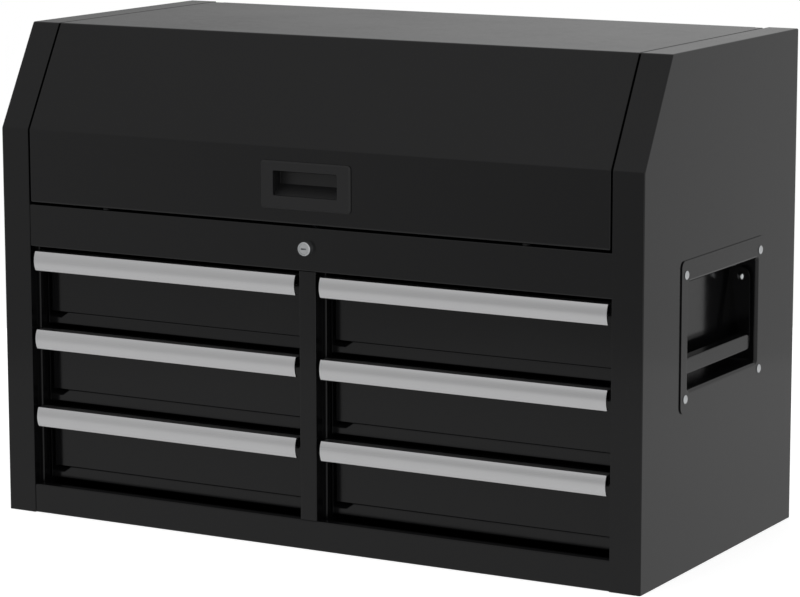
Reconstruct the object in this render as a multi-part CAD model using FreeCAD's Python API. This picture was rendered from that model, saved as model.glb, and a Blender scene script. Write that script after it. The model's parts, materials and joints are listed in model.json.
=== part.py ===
import FreeCAD, Part
import math
import os
from FreeCAD import Placement, Rotation, Vector

# A steel machinist's top chest: six drawers in two banks under a till with a slope-fronted lid.
# Millimetres. X runs to the right seen from the front, Y from the front to the back, Z upwards.
# The origin is the middle of the footprint, on the surface that the chest stands on.

# Directions
rightwards = Vector(1, 0, 0)
leftwards = Vector(-1, 0, 0)
rearwards = Vector(0, 1, 0)
upwards = Vector(0, 0, 1)

# Cabinet outline
cabinet_width = 914.0
cabinet_depth = 451.0
cabinet_height = 635.0
lower_front_height = 504.0
slope_depth = 74.0

# Cabinet sheet
panel_sheet = 1.2
slope_bend_radius = 3.2
side_edge_radius = 2.0
opening_edge_radius = 0.9
post_width = 41.0
return_depth = 15.0
back_flange_width = 18.0
fit_gap = 0.3
plane_tolerance = 0.03
overrun = 5.0

# Front frame
frame_recess = 1.2
frame_bend_radius = 2.0
bottom_rail_height = 38.0
header_bottom_height = 352.0
header_top_height = 407.0
header_lip_drop = 8.0
centre_post_width = 24.0
centre_post_depth = 19.0

# Inner structure
jamb_step = 4.2
till_floor_height = 361.0
floor_flange_drop = 8.4
bottom_flange_rise = 20.0
slide_post_depth = 60.0
rear_post_depth = 55.0
rear_post_setback = 375.0
slide_post_flange = 12.0
centre_wall_setback = 20.5
centre_wall_flange = 18.0

# Lid
lid_side_gap = 2.5
lid_front_gap = 2.5
lid_edge_radius = 1.5
lid_skirt_depth = 18.0
lid_ledge_depth = 34.0
lid_back_flange = 22.0
lid_bumper_radius = 5.0
lid_bumper_spacing = 600.0
lid_bumper_setback = 8.0

# Lid hinge
hinge_leaf_sheet = 1.2
hinge_pin_radius = 1.6
hinge_pin_clearance = 0.05
hinge_knuckle_clearance = 0.3
hinge_leaf_height = 20.0
hinge_length = 800.0
hinge_knuckles = 10
knuckle_end_gap = 0.4
hinge_top_gap = 0.3
back_panel_top_gap = 1.0

# Lid struts
strut_radius_arm = 215.0
strut_rest_spread_deg = 70.0
lid_open_deg = 80.0
strut_pin_drop = 11.0
strut_inset = 10.3
strut_pin_radius = 4.0
strut_pin_clearance = 0.08
strut_pin_head_radius = 5.5
strut_pin_head_length = 1.5
strut_eye_radius = 8.0
strut_eye_width = 9.0
strut_rod_radius = 3.0
strut_bore_clearance = 0.1
strut_cylinder_radius = 7.5
strut_cylinder_length = 196.0
strut_cylinder_end = 12.0
strut_neck_radius = 4.0
strut_neck_length = 6.0
strut_rod_reach = 15.0
strut_edge_round = 1.5
lid_bracket_length = 34.0
lid_bracket_height = 14.0
bracket_sheet = 2.0
cabinet_bracket_size = 44.0
cabinet_bracket_arm = 18.0

# Lid handle
lid_handle_height = 457.5
bezel_width = 128.5
bezel_height = 59.5
bezel_thickness = 3.0
bezel_corner_radius = 5.0
bezel_bevel = 2.0
pocket_width = 91.0
pocket_height = 30.5
pocket_raise = 2.25
pocket_depth = 17.0
pocket_wall = 2.2
pocket_corner_radius = 3.0
pocket_undercut = 6.0
pocket_floor_rise = 12.5
pocket_clearance = 0.8
handle_lip_depth = 3.0

# Lock
lock_height = 381.0
lock_collar_radius = 10.0
lock_face_radius = 9.0
lock_reach = 8.0
lock_barrel_radius = 8.6
lock_barrel_length = 18.6
lock_hole_clearance = 0.2
lock_plug_radius = 6.4
lock_plug_clearance = 0.08
lock_plug_sink = 0.4
lock_rim_chamfer = 1.0
key_slot_width = 1.6
key_slot_length = 7.6
key_slot_depth = 9.0
lock_nut_flats = 24.0
lock_nut_thickness = 4.0
lock_stub_radius = 4.0
cam_thickness = 2.2
cam_clearance = 0.3
cam_hub_radius = 7.0
crank_radius = 7.0
crank_pin_radius = 2.0
crank_pin_length = 4.6
crank_eye_radius = 3.4
crank_slot_clearance = 0.5
lock_bar_sheet = 2.0
lock_bar_gap = 0.7
lock_bar_width = 28.0
lock_bar_setback = 50.0
lock_bar_jog_top = 350.0
lock_bar_jog_drop = 20.0
lock_tongue_width = 12.0
lock_tongue_gap = 1.0
lock_bar_slot_clearance = 1.2
tongue_slot_clearance = 2.6
lug_reach = 7.8
lug_height = 8.0
catch_sheet = 1.2
catch_height = 10.0
catch_wall_gap = 1.8
catch_lug_gap = 1.0
lug_rail_gap = 1.0
catch_foot_length = 14.0

# Drawers
drawer_rows = 3
drawer_pitch = 102.7
drawer_front_height = 98.5
drawer_rail_gap = 3.9
front_side_gap = 1.6
drawer_sheet = 1.0
drawer_bend_radius = 2.0
lip_setback = 30.0
lip_height = 9.5
ledge_rise = 5.5
face_setback = 42.0
lip_return = 12.0
front_side_setback = 23.0
shelf_setback = 9.0
shelf_flange_drop = 12.0
drawer_length = 388.0
drawer_side_height = 73.0
drawer_hem = 4.0
catch_bottom = 76.0

# Drawer pulls
pull_height = 25.2
pull_bulge = 3.3
pull_edge_setback = 2.8
pull_wall = 1.8
pull_flange_thickness = 1.5
pull_flange_depth = 16.0
pull_lip_depth = 3.5
pull_rib_thickness = 1.6

# Drawer slides
slide_thickness = 12.7
slide_height = 35.2
slide_sheet = 1.2
slide_level = 48.0
slide_setback = 44.0
slide_length = 385.0
slide_race_gap = 0.3
slide_web_gap = 1.0
slide_tip_gap = 0.5
cabinet_slide_reach = 9.5

# Side handles
handle_setback = 227.5
handle_level = 292.0
plate_length = 246.0
plate_height = 186.0
plate_thickness = 1.5
plate_corner_radius = 9.0
window_length = 205.0
window_height = 131.0
window_corner_radius = 3.0
window_bend_radius = 4.5
pan_depth = 35.4
pan_sheet = 1.2
screw_spacing_length = 221.0
screw_spacing_height = 151.0
screw_head_radius = 5.5
screw_head_height = 2.8
screw_shank_radius = 1.75
screw_shank_length = 4.0
screw_hole_clearance = 0.2
bail_pivot_depth = 18.0
bail_pivot_height = 335.0
bail_span = 195.0
bail_arm_sheet = 3.0
bail_arm_radius = 12.0
bail_grip_height = 20.0
bail_grip_thickness = 14.0
bail_grip_depth = 5.0
bail_grip_level = 253.0
bail_edge_radius = 1.5
bail_pin_radius = 3.0
bail_pin_clearance = 0.08
bail_collar_radius = 5.0
bail_head_radius = 4.8
bail_head_height = 3.2
bail_rivet_radius = 1.9
bail_rivet_length = 1.6

# Shares that were chosen by eye: the straight part of the grip's round ends, the rim of a domed
# head's height, the bottom rail's upright lip, and the line between a window's edge and its plate's
roundness_share = 0.02
head_rim_share = 1 / 3
rail_lip_share = 0.25
plate_border_share = 0.25

# Places worked out from the sizes above
front = -cabinet_depth / 2
back = cabinet_depth / 2
half_width = cabinet_width / 2
post_edge = half_width - post_width
skin_inside = half_width - panel_sheet
slide_wall = post_edge - jamb_step
centre_face = centre_post_width / 2 + jamb_step
frame_front = front + frame_recess
frame_back = front + return_depth
back_inside = back - 2 * panel_sheet
bay_width = slide_wall - centre_face
bay_centre = (slide_wall + centre_face) / 2
lid_half_width = post_edge - lid_side_gap
lid_bottom = header_top_height + lid_front_gap
knuckle_radius = hinge_pin_radius + hinge_pin_clearance + hinge_leaf_sheet
hinge_reach = knuckle_radius + hinge_knuckle_clearance
hinge_y = back_inside - hinge_reach
hinge_z = cabinet_height - hinge_top_gap - knuckle_radius
lid_back = hinge_y - hinge_reach
first_drawer_bottom = bottom_rail_height + drawer_rail_gap
drawer_width = bay_width - 2 * slide_thickness
drawer_front_width = bay_width - 2 * front_side_gap
drawer_back = front + face_setback + drawer_length
drawer_floor = lip_height + ledge_rise
pull_underside = drawer_front_height - pull_flange_thickness
side_outline = [
    (front, 0),
    (back, 0),
    (back, cabinet_height),
    (front + slope_depth, cabinet_height),
    (front, lower_front_height),
]
slope_bends = [0, 0, 0, slope_bend_radius, slope_bend_radius]


# Drawing helpers

def place(plane, across, up, level):
    """The point at (across, up) on a plane that lies at the given level."""
    if plane == "yz":
        return Vector(level, across, up)
    if plane == "xz":
        return Vector(across, level, up)
    return Vector(across, up, level)


def travel(plane, distance):
    """The step that carries an outline square to its plane."""
    return place(plane, 0, 0, distance)


def box(x, y, z):
    """A block between two places on each axis."""
    return Part.makeBox(x[1] - x[0], y[1] - y[0], z[1] - z[0], Vector(x[0], y[0], z[0]))


def direction(start, end):
    """The unit step from one 2-D point to another."""
    length = math.dist(start, end)
    return ((end[0] - start[0]) / length, (end[1] - start[1]) / length)


def crossing(start_a, way_a, start_b, way_b):
    """Where two 2-D lines meet."""
    cross = way_a[0] * way_b[1] - way_a[1] * way_b[0]
    gap = (start_b[0] - start_a[0], start_b[1] - start_a[1])
    along = (gap[0] * way_b[1] - gap[1] * way_b[0]) / cross
    return (start_a[0] + way_a[0] * along, start_a[1] + way_a[1] * along)


def inset(points, distances):
    """A polygon drawn anticlockwise, with each of its sides moved inwards by its own distance."""
    count = len(points)
    sides = []
    for index in range(count):
        way = direction(points[index], points[(index + 1) % count])
        moved = (points[index][0] - way[1] * distances[index], points[index][1] + way[0] * distances[index])
        sides.append((moved, way))
    return [crossing(*sides[index - 1], *sides[index]) for index in range(count)]


def outline(points, radii, plane, level):
    """A closed wire through the points, with an arc of its own radius at each of them."""
    count = len(points)
    corners = []
    for index in range(count):
        before = direction(points[index], points[index - 1])
        after = direction(points[index], points[(index + 1) % count])
        turn = math.acos(before[0] * after[0] + before[1] * after[1])
        cut = radii[index] / math.tan(turn / 2)
        half = (before[0] + after[0], before[1] + after[1])
        reach = math.hypot(*half)
        inward = radii[index] / math.sin(turn / 2) - radii[index]
        corners.append([
            place(plane, points[index][0] + way[0] * far, points[index][1] + way[1] * far, level)
            for way, far in ((before, cut), ((half[0] / reach, half[1] / reach), inward), (after, cut))
        ])
    edges = []
    for index in range(count):
        arc_start, arc_middle, arc_end = corners[index]
        if radii[index] > 0:
            edges.append(Part.Arc(arc_start, arc_middle, arc_end).toShape())
        edges.append(Part.LineSegment(arc_end, corners[(index + 1) % count][0]).toShape())
    return Part.Wire(edges)


def prism(points, radii, plane, start, end):
    """A straight solid over a polygon, with rounded corners where the radii ask for them."""
    if radii is None:
        radii = [0] * len(points)
    face = Part.Face(outline(points, radii, plane, start))
    return face.extrude(travel(plane, end - start))


def rounded_plate(plane, centre, size, radius, start, end):
    """A rectangular plate with rounded corners."""
    across, up = size[0] / 2, size[1] / 2
    points = [
        (centre[0] - across, centre[1] - up),
        (centre[0] + across, centre[1] - up),
        (centre[0] + across, centre[1] + up),
        (centre[0] - across, centre[1] + up),
    ]
    return prism(points, [radius] * len(points), plane, start, end)


def folded(path, sheet, bend_radius, plane, start, end):
    """A strip of sheet that follows an open path with its thickness to the left of the path.

    The bends have the given radius outside, and what the sheet leaves of it inside.
    """
    count = len(path)
    ways = [direction(path[index], path[index + 1]) for index in range(count - 1)]
    near, far = [path[0]], []
    near_radii, far_radii = [0], []
    normal = (-ways[0][1], ways[0][0])
    far.append((path[0][0] + normal[0] * sheet, path[0][1] + normal[1] * sheet))
    far_radii.append(0)
    inner = max(bend_radius - sheet, 0)
    for index in range(1, count - 1):
        before, after = ways[index - 1], ways[index]
        side_start = (path[index][0] - before[1] * sheet, path[index][1] + before[0] * sheet)
        side_end = (path[index][0] - after[1] * sheet, path[index][1] + after[0] * sheet)
        near.append(path[index])
        far.append(crossing(side_start, before, side_end, after))
        turns_left = before[0] * after[1] - before[1] * after[0] > 0
        near_radii.append(bend_radius if turns_left else inner)
        far_radii.append(inner if turns_left else bend_radius)
    near.append(path[-1])
    near_radii.append(0)
    far.append((path[-1][0] - ways[-1][1] * sheet, path[-1][1] + ways[-1][0] * sheet))
    far_radii.append(0)
    return prism(near + far[::-1], near_radii + far_radii[::-1], plane, start, end)


def rod(centre, way, radius, length):
    """A round bar from a centre along a direction."""
    return Part.makeCylinder(radius, length, centre, way)


def turned(profile, base, way):
    """A solid of revolution. The profile is (radius, distance along the axis) points."""
    points = [Vector(radius, 0, along) for radius, along in profile]
    solid = Part.Face(Part.makePolygon(points + points[:1])).revolve(Vector(), upwards, 360)
    solid.Placement = Placement(base, Rotation(upwards, way))
    return solid


def domed_head(base, way, radius, height):
    """A low round head whose flat face lies at the base."""
    rim = height * head_rim_share
    rise = height - rim
    ball = (radius ** 2 + rise ** 2) / (2 * rise)
    half_angle = math.asin(radius / ball) / 2
    top = Part.Arc(
        Vector(radius, 0, rim),
        Vector(ball * math.sin(half_angle), 0, height - ball + ball * math.cos(half_angle)),
        Vector(0, 0, height),
    ).toShape()
    rest = Part.makePolygon([Vector(0, 0, height), Vector(), Vector(radius, 0, 0), Vector(radius, 0, rim)])
    solid = Part.Face(Part.Wire([top] + rest.Edges)).revolve(Vector(), upwards, 360)
    solid.Placement = Placement(base, Rotation(upwards, way))
    return solid


def rounded(solid, radius, wanted):
    """The solid with a fillet on each edge that the test picks."""
    return solid.makeFillet(radius, [edge for edge in solid.Edges if wanted(edge)])


def on_plane(edge, axis, level):
    """Whether an edge lies in the plane at a level of one axis."""
    return all(abs(getattr(vertex.Point, axis) - level) < plane_tolerance for vertex in edge.Vertexes)


def flipped_solid(shape):
    """One solid mirrored across the middle plane."""
    return shape.mirror(Vector(), rightwards)


def group(solids):
    """Separate solids that share one node."""
    return Part.makeCompound(solids)


# Cabinet panels

def side_panel():
    """The right-hand side: one sheet folded in all round, with a window for the handle pan."""
    whole = prism(side_outline, slope_bends, "yz", post_edge, half_width)
    whole = rounded(whole, side_edge_radius, lambda edge: on_plane(edge, "x", half_width)
                    and not on_plane(edge, "z", 0) and not on_plane(edge, "y", back))
    inner_bend = slope_bend_radius - panel_sheet
    hollow_outline = inset(side_outline, [-overrun] + [panel_sheet] * 4)
    hollow = prism(hollow_outline, [0, 0, 0, inner_bend, inner_bend], "yz", post_edge - overrun, skin_inside)
    panel = whole.cut(hollow)
    panel = panel.cut(box(
        (post_edge - overrun, half_width - back_flange_width),
        (back - 2 * panel_sheet, back + overrun),
        (-overrun, cabinet_height - panel_sheet),
    ))
    rim = prism(side_outline, slope_bends, "yz", post_edge, post_edge + panel_sheet)
    rim_hole = inset(side_outline, [-overrun, -overrun] + [return_depth] * 3)
    rim = rim.cut(prism(rim_hole, None, "yz", post_edge - overrun, half_width))
    rim = rim.cut(box(
        (post_edge - overrun, half_width),
        (back_inside - fit_gap, back + overrun),
        (-overrun, cabinet_height - panel_sheet),
    ))
    panel = panel.fuse(rim).removeSplitter()
    panel = rounded(panel, opening_edge_radius, opening_edge)
    margin = pan_sheet + window_bend_radius - plate_thickness + fit_gap
    window = rounded_plate(
        "yz", (front + handle_setback, handle_level),
        (window_length + 2 * margin, window_height + 2 * margin),
        window_corner_radius + margin, skin_inside - overrun, half_width + overrun,
    )
    panel = panel.cut(window)
    for spot in screw_spots():
        hole = rod(spot - Vector(plate_thickness + overrun, 0, 0), rightwards,
                   screw_shank_radius + screw_hole_clearance, 2 * overrun)
        panel = panel.cut(hole)
    return panel


def opening_edge(edge):
    """The outer edges of the side panel's front and slope flanges beside the opening and the lid."""
    if not on_plane(edge, "x", post_edge):
        return False
    ends = [vertex.Point for vertex in edge.Vertexes]
    on_front = all(abs(point.y - front) < fit_gap for point in ends)
    slope_way = direction((front, lower_front_height), (front + slope_depth, cabinet_height))
    off_slope = [
        abs((point.y - front) * slope_way[1] - (point.z - lower_front_height) * slope_way[0])
        for point in ends
    ]
    on_slope = max(off_slope) < fit_gap and min(point.z for point in ends) > lower_front_height - post_width
    return on_front or on_slope


def screw_spots():
    """The four places on the right-hand plate's face where its screws sit."""
    return [
        Vector(
            half_width + plate_thickness,
            front + handle_setback + along * screw_spacing_length / 2,
            handle_level + up * screw_spacing_height / 2,
        )
        for along in (-1, 1) for up in (-1, 1)
    ]


def back_panel():
    """A plain sheet inside the side panels' back flanges."""
    half = skin_inside - fit_gap
    return box((-half, half), (back_inside, back_inside + panel_sheet), (0, hinge_z + back_panel_top_gap))


def bottom_panel():
    """The floor under the drawers, turned up along its front edge."""
    half = skin_inside - fit_gap
    flange_front = frame_back + fit_gap
    floor = box((-half, half), (flange_front, back_inside), (0, panel_sheet))
    flange = box(
        (fit_gap - slide_wall, slide_wall - fit_gap),
        (flange_front, flange_front + panel_sheet),
        (0, bottom_flange_rise),
    )
    return floor.fuse(flange).removeSplitter()


def till_floor():
    """The shelf between the till and the drawers, turned down in front and at the back.

    An ear at each end reaches forward into the side panel's front post and closes it off.
    """
    top = till_floor_height + panel_sheet
    flange_end = till_floor_height - floor_flange_drop
    path = [
        (back_inside, flange_end),
        (back_inside, top),
        (frame_back + fit_gap, top),
        (frame_back + fit_gap, flange_end),
    ]
    half = skin_inside - fit_gap
    floor = folded(path, panel_sheet, frame_bend_radius, "yz", -half, half)
    for side in (-1, 1):
        floor = floor.cut(box(
            (side * half - (half - slide_wall + fit_gap), side * half + (half - slide_wall + fit_gap)),
            (front, front + centre_wall_setback),
            (flange_end - overrun, till_floor_height),
        ))
    ears = [
        box(
            sorted((side * (post_edge + panel_sheet + fit_gap), side * half)),
            (front + panel_sheet + fit_gap, frame_back + fit_gap + frame_bend_radius + panel_sheet),
            (till_floor_height, top),
        )
        for side in (-1, 1)
    ]
    floor = floor.fuse(ears).removeSplitter()
    notch = centre_face + centre_wall_flange + fit_gap
    floor = floor.cut(box((-notch, notch), (0, back), (flange_end - overrun, till_floor_height)))
    slot = lock_bar_width / 2 + lock_bar_slot_clearance
    return floor.cut(box(
        (-slot, slot),
        (bar_front() - lock_bar_slot_clearance, bar_front() + lock_bar_sheet + lock_bar_slot_clearance),
        (till_floor_height - overrun, top + overrun),
    ))


def frame_rail(bottom, top, upper_lip, lower_lip):
    """A channel across the front between the posts, with its ends folded back against them."""
    path = [
        (frame_back, top - upper_lip),
        (frame_back, top),
        (frame_front, top),
        (frame_front, bottom),
        (frame_back, bottom),
        (frame_back, bottom + lower_lip),
    ]
    half = post_edge - fit_gap
    channel = folded(path, panel_sheet, frame_bend_radius, "yz", -half, half)
    plug = prism(
        [(frame_front, bottom), (frame_back, bottom), (frame_back, top), (frame_front, top)],
        [frame_bend_radius] * 4, "yz", -half, half,
    )
    ends = [
        plug.common(box(
            (side * half - panel_sheet, side * half + panel_sheet), (front, 0), (-overrun, cabinet_height),
        ))
        for side in (-1, 1)
    ]
    return channel.fuse(ends).removeSplitter()


def header_panel():
    """The panel over the drawers, with the hole for the lock."""
    panel = frame_rail(header_bottom_height, header_top_height, header_lip_drop,
                       till_floor_height - header_bottom_height)
    hole = rod(Vector(0, front - overrun, lock_height), rearwards,
               lock_barrel_radius + lock_hole_clearance, frame_recess + panel_sheet + 2 * overrun)
    return panel.cut(hole)


def bottom_rail():
    """The rail under the drawers."""
    lip = bottom_rail_height * rail_lip_share
    return frame_rail(0, bottom_rail_height, lip, lip)


def centre_post():
    """The narrow channel that stands between the two banks of drawers."""
    half = centre_post_width / 2
    depth = front + frame_recess + centre_post_depth
    path = [(-half, depth), (-half, frame_front), (half, frame_front), (half, depth)]
    return folded(path, panel_sheet, frame_bend_radius, "xy", bottom_rail_height, header_bottom_height)


def centre_wall():
    """The hollow wall between the banks. It carries their inner slides and guides the lock bar."""
    rear = back_inside - panel_sheet
    near = front + centre_wall_setback
    foot = centre_face + centre_wall_flange
    path = [
        (-foot, rear), (-centre_face, rear), (-centre_face, near),
        (centre_face, near), (centre_face, rear), (foot, rear),
    ]
    wall = folded(path, panel_sheet, frame_bend_radius, "xy", panel_sheet, till_floor_height)
    for row in range(drawer_rows):
        wall = wall.cut(box(
            (-centre_face - overrun, centre_face + overrun),
            (front + lock_bar_setback - lock_bar_slot_clearance,
             front + lock_bar_setback + lock_bar_sheet + lock_bar_slot_clearance),
            (lug_bottom(row) - lock_bar_slot_clearance,
             lug_bottom(row) + lug_height + lock_travel() + lock_bar_slot_clearance),
        ))
    return wall


def slide_posts():
    """Four upright hat sections at the sides, which carry the outer slides."""
    foot = skin_inside - panel_sheet
    posts = []
    for near, depth in (
        (frame_back + fit_gap, slide_post_depth),
        (front + rear_post_setback, rear_post_depth),
    ):
        far = near + depth
        path = [
            (foot, far + slide_post_flange), (foot, far), (slide_wall, far),
            (slide_wall, near), (foot, near), (foot, near - slide_post_flange),
        ]
        post = folded(path, panel_sheet, frame_bend_radius, "xy", panel_sheet, till_floor_height)
        posts += [post, flipped_solid(post)]
    return group(posts)


# Lid and hinge

def lid():
    """The lid: one sheet folded over the slope, with a skirt at each end and a ledge at the front."""
    path = [
        (lid_back, cabinet_height - lid_back_flange),
        (lid_back, cabinet_height),
        (front + slope_depth, cabinet_height),
        (front, lower_front_height),
        (front, lid_bottom),
        (front + lid_ledge_depth, lid_bottom),
    ]
    skin = folded(path, panel_sheet, slope_bend_radius, "yz", -lid_half_width, lid_half_width)
    skirt_path = path[1:5]
    skirts = [
        folded(skirt_path, lid_skirt_depth, slope_bend_radius, "yz", side * lid_half_width,
               side * (lid_half_width - panel_sheet))
        for side in (-1, 1)
    ]
    trimmed = []
    for skirt in skirts:
        trimmed.append(skirt.common(lid_block()))
    shell = skin.fuse(trimmed).removeSplitter()
    shell = rounded(shell, lid_edge_radius, lid_end_edge)
    hole_size = (
        pocket_width + 2 * (pocket_wall + pocket_clearance),
        handle_body_height() + 2 * pocket_clearance,
    )
    hole = rounded_plate("xz", (0, handle_body_middle()), hole_size, pocket_corner_radius,
                         front - overrun, front + overrun)
    shell = shell.cut(hole)
    slot = lock_tongue_width / 2 + tongue_slot_clearance
    return shell.cut(box(
        (-slot, slot),
        (tongue_front() - tongue_slot_clearance,
         tongue_front() + lock_bar_sheet + tongue_slot_clearance),
        (lid_bottom - overrun, lid_bottom + overrun),
    ))


def lid_block():
    """All the space inside the lid's outer faces, with its bends rounded."""
    points = [
        (front, lid_bottom),
        (lid_back, lid_bottom),
        (lid_back, cabinet_height),
        (front + slope_depth, cabinet_height),
        (front, lower_front_height),
    ]
    bends = [slope_bend_radius, 0, slope_bend_radius, slope_bend_radius, slope_bend_radius]
    return prism(points, bends, "yz", -lid_half_width - overrun, lid_half_width + overrun)


def lid_end_edge(edge):
    """The long outer edges at the lid's two ends, over its front, slope and top."""
    if not (on_plane(edge, "x", lid_half_width) or on_plane(edge, "x", -lid_half_width)):
        return False
    ends = [vertex.Point for vertex in edge.Vertexes]
    slope_way = direction((front, lower_front_height), (front + slope_depth, cabinet_height))
    for point in ends:
        off_front = abs(point.y - front)
        off_top = abs(point.z - cabinet_height)
        off_slope = abs((point.y - front) * slope_way[1] - (point.z - lower_front_height) * slope_way[0])
        if min(off_front, off_top, off_slope) > fit_gap:
            return False
        if point.z < lid_bottom + slope_bend_radius - fit_gap:
            return False
        if point.y > lid_back - slope_bend_radius + fit_gap:
            return False
    return True


def handle_body_height():
    """How tall the handle's body is behind the lid's sheet."""
    return pocket_height + pocket_undercut + 2 * pocket_wall


def handle_body_middle():
    """The level of the middle of the handle's body."""
    return lid_handle_height + pocket_raise + pocket_undercut / 2


def lid_handle():
    """The moulded recessed pull: a bevelled bezel over a scooped pocket that runs up behind its edge."""
    face = front - bezel_thickness
    bezel_size = (bezel_width, bezel_height)
    bezel = rounded_plate("xz", (0, lid_handle_height), bezel_size, bezel_corner_radius, face, front)
    bezel = bezel.makeChamfer(bezel_bevel, [edge for edge in bezel.Edges if on_plane(edge, "y", face)])
    middle = handle_body_middle()
    body_size = (pocket_width + 2 * pocket_wall, handle_body_height())
    body = rounded_plate("xz", (0, middle), body_size, pocket_corner_radius, front, front + pocket_depth)
    bottom = lid_handle_height + pocket_raise - pocket_height / 2
    top = bottom + pocket_height
    deep = front + pocket_depth - pocket_wall
    scoop_points = [
        (face - overrun, bottom),
        (front, bottom),
        (deep, bottom + pocket_floor_rise),
        (deep, top + pocket_undercut),
        (front + handle_lip_depth, top + pocket_undercut),
        (front + handle_lip_depth, top),
        (face - overrun, top),
    ]
    scoop = prism(scoop_points, None, "yz", -pocket_width / 2, pocket_width / 2)
    pull = bezel.fuse(body).cut(scoop).removeSplitter()
    return rounded(pull, pocket_corner_radius / 2, pocket_corner)


def pocket_corner(edge):
    """The four short corners of the pocket's mouth through the bezel, and its upper rim inside."""
    ends = [vertex.Point for vertex in edge.Vertexes]
    in_corner = all(abs(abs(point.x) - pocket_width / 2) < fit_gap for point in ends)
    runs_in = len({round(point.y, 1) for point in ends}) > 1
    return in_corner and runs_in and max(point.y for point in ends) < front + handle_lip_depth + fit_gap


def lid_bumpers():
    """Two rubber pads on the header, which the lid's ledge closes on."""
    height = lid_front_gap - fit_gap
    return group([
        rod(Vector(side * lid_bumper_spacing / 2, front + lid_bumper_setback, header_top_height),
            upwards, lid_bumper_radius, height)
        for side in (-1, 1)
    ])


def hinge_leaf(facing, first):
    """One leaf of the lid's hinge with its share of the knuckles. Facing is 1 at the back panel."""
    outer = hinge_y + facing * hinge_reach
    inner = outer - facing * hinge_leaf_sheet
    half = hinge_length / 2
    leaf = box((-half, half), sorted((inner, outer)), (hinge_z - hinge_leaf_height, hinge_z))
    pitch = hinge_length / hinge_knuckles
    reach = hinge_reach + hinge_leaf_sheet
    for index in range(hinge_knuckles):
        start = index * pitch - half
        if index % 2 == first:
            leaf = leaf.fuse(rod(Vector(start + knuckle_end_gap / 2, hinge_y, hinge_z), rightwards,
                                 knuckle_radius, pitch - knuckle_end_gap))
        else:
            leaf = leaf.cut(box(
                (start - knuckle_end_gap / 2, start + pitch + knuckle_end_gap / 2),
                (hinge_y - reach, hinge_y + reach),
                (hinge_z - hinge_reach, hinge_z + reach),
            ))
    bore = rod(Vector(-half - overrun, hinge_y, hinge_z), rightwards,
               hinge_pin_radius + hinge_pin_clearance, hinge_length + 2 * overrun)
    return leaf.cut(bore).removeSplitter()


def hinge_pin():
    """The long pin through all the knuckles."""
    half = hinge_length / 2
    return rod(Vector(-half, hinge_y, hinge_z), rightwards, hinge_pin_radius, hinge_length)


# Lid struts

def strut_lid_end():
    """The pin centre on the lid, as (y, z)."""
    drop = cabinet_height - strut_pin_drop - hinge_z
    return (hinge_y - math.sqrt(strut_radius_arm ** 2 - drop ** 2), cabinet_height - strut_pin_drop)


def strut_cabinet_end():
    """The pin centre on the cabinet. Both ends lie equally far from the hinge, so that the strut turns
    half as far as the lid, at any angle."""
    y, z = strut_lid_end()
    spread = math.radians(strut_rest_spread_deg)
    dy, dz = y - hinge_y, z - hinge_z
    return (hinge_y + dy * math.cos(spread) - dz * math.sin(spread),
            hinge_z + dy * math.sin(spread) + dz * math.cos(spread))


def strut_length(spread_deg):
    """The distance between the two pins at a given angle between their arms."""
    return 2 * strut_radius_arm * math.sin(math.radians(spread_deg) / 2)


def strut_x():
    """The plane that the right-hand strut moves in."""
    return lid_half_width - panel_sheet - strut_inset


def laid_on_strut(solid):
    """Places a solid, drawn upwards from the origin, on the strut's line."""
    low, high = strut_cabinet_end(), strut_lid_end()
    way = Vector(0, high[0] - low[0], high[1] - low[1])
    solid.Placement = Placement(Vector(strut_x(), *low), Rotation(upwards, way))
    return solid


def strut_eye(level):
    """The round end fitting of a strut, with its bore for the pin."""
    middle = Vector(-strut_eye_width / 2, 0, level)
    return rod(middle, rightwards, strut_eye_radius, strut_eye_width)


def strut_eye_bore(level):
    """The bore through an end fitting."""
    middle = Vector(-strut_eye_width, 0, level)
    return rod(middle, rightwards, strut_pin_radius + strut_pin_clearance, 2 * strut_eye_width)


def strut_rod():
    """The thin rod, from its eye on the cabinet to well inside the cylinder."""
    rest = strut_length(strut_rest_spread_deg)
    full = strut_length(strut_rest_spread_deg + lid_open_deg)
    mouth = rest - strut_cylinder_end - strut_cylinder_length
    tip = mouth + (full - rest) + strut_rod_reach
    neck = rod(Vector(0, 0, 0), upwards, strut_neck_radius, strut_eye_radius + strut_neck_length)
    bar = rod(Vector(0, 0, 0), upwards, strut_rod_radius, tip)
    solid = strut_eye(0).fuse([neck, bar]).cut(strut_eye_bore(0)).removeSplitter()
    return laid_on_strut(solid)


def strut_cylinder():
    """The gas cylinder, with its eye on the lid and a bore for the rod."""
    rest = strut_length(strut_rest_spread_deg)
    mouth = rest - strut_cylinder_end - strut_cylinder_length
    tube = rod(Vector(0, 0, mouth), upwards, strut_cylinder_radius, strut_cylinder_length)
    tube = tube.makeFillet(strut_edge_round, [edge for edge in tube.Edges if len(edge.Vertexes) == 1])
    neck = rod(Vector(0, 0, rest - strut_cylinder_end), upwards, strut_neck_radius, strut_cylinder_end)
    bore = rod(Vector(0, 0, mouth - overrun), upwards, strut_rod_radius + strut_bore_clearance,
               strut_cylinder_length)
    solid = tube.fuse([neck, strut_eye(rest)]).cut(bore).cut(strut_eye_bore(rest)).removeSplitter()
    return laid_on_strut(solid)


def strut_pin(base_x, centre):
    """A headed pin that points inwards from a bracket face."""
    tip = strut_x() - strut_eye_width / 2 - fit_gap
    start = Vector(base_x, *centre)
    pin = rod(start, leftwards, strut_pin_radius, base_x - tip)
    head = rod(Vector(tip, *centre), leftwards, strut_pin_head_radius, strut_pin_head_length)
    return pin.fuse(head)


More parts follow.
